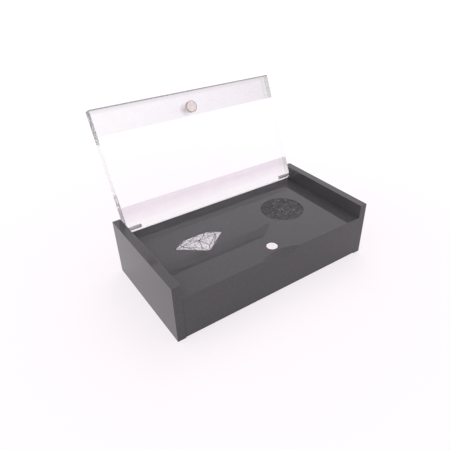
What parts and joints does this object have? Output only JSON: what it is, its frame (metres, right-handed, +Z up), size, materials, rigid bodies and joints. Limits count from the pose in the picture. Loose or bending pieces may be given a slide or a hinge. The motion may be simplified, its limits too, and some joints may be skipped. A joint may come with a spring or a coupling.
{
  "type": "gemstone display box",
  "caption": "Low black acrylic display box with a hinged clear lid, magnetic catch, foam insert for a stone, and an inlaid cut-gem mark.",
  "frame": {"origin": "on the floor, under the middle of the bounding box with the lid standing open", "axes": "+X along the box, to the right seen from the front; +Y from the front panel to the back; +Z up"},
  "size_m": [0.108, 0.0812, 0.0756],
  "materials": {
    "black_acrylic": "polished cast acrylic sheet",
    "clear_acrylic": "clear polished cast acrylic sheet",
    "black_foam": "open-cell black foam",
    "plated_metal": "nickel-plated magnet",
    "pin_steel": "drawn steel wire",
    "white_inlay": "white fill"
  },
  "bodies": {
    "box": {"left_side_panel": "black_acrylic", "right_side_panel": "black_acrylic", "front_panel": "black_acrylic", "back_panel": "black_acrylic", "base_panel": "black_acrylic", "deck_panel": "black_acrylic", "insert_cup": "black_acrylic", "foam_insert": "black_foam", "deck_magnet": "plated_metal", "gem_mark": "white_inlay", "left_hinge_pin": "pin_steel", "right_hinge_pin": "pin_steel"},
    "lid": {"lid_panel": "clear_acrylic", "lid_magnet": "plated_metal"}
  },
  "joints": [
    {"name": "lid_hinge", "type": "hinge", "parent": "box", "child": "lid", "pos_m": [0, 0.01404, 0.02435], "axis": [1, 0, 0], "range_deg": [0, 114.4]}
  ]
}
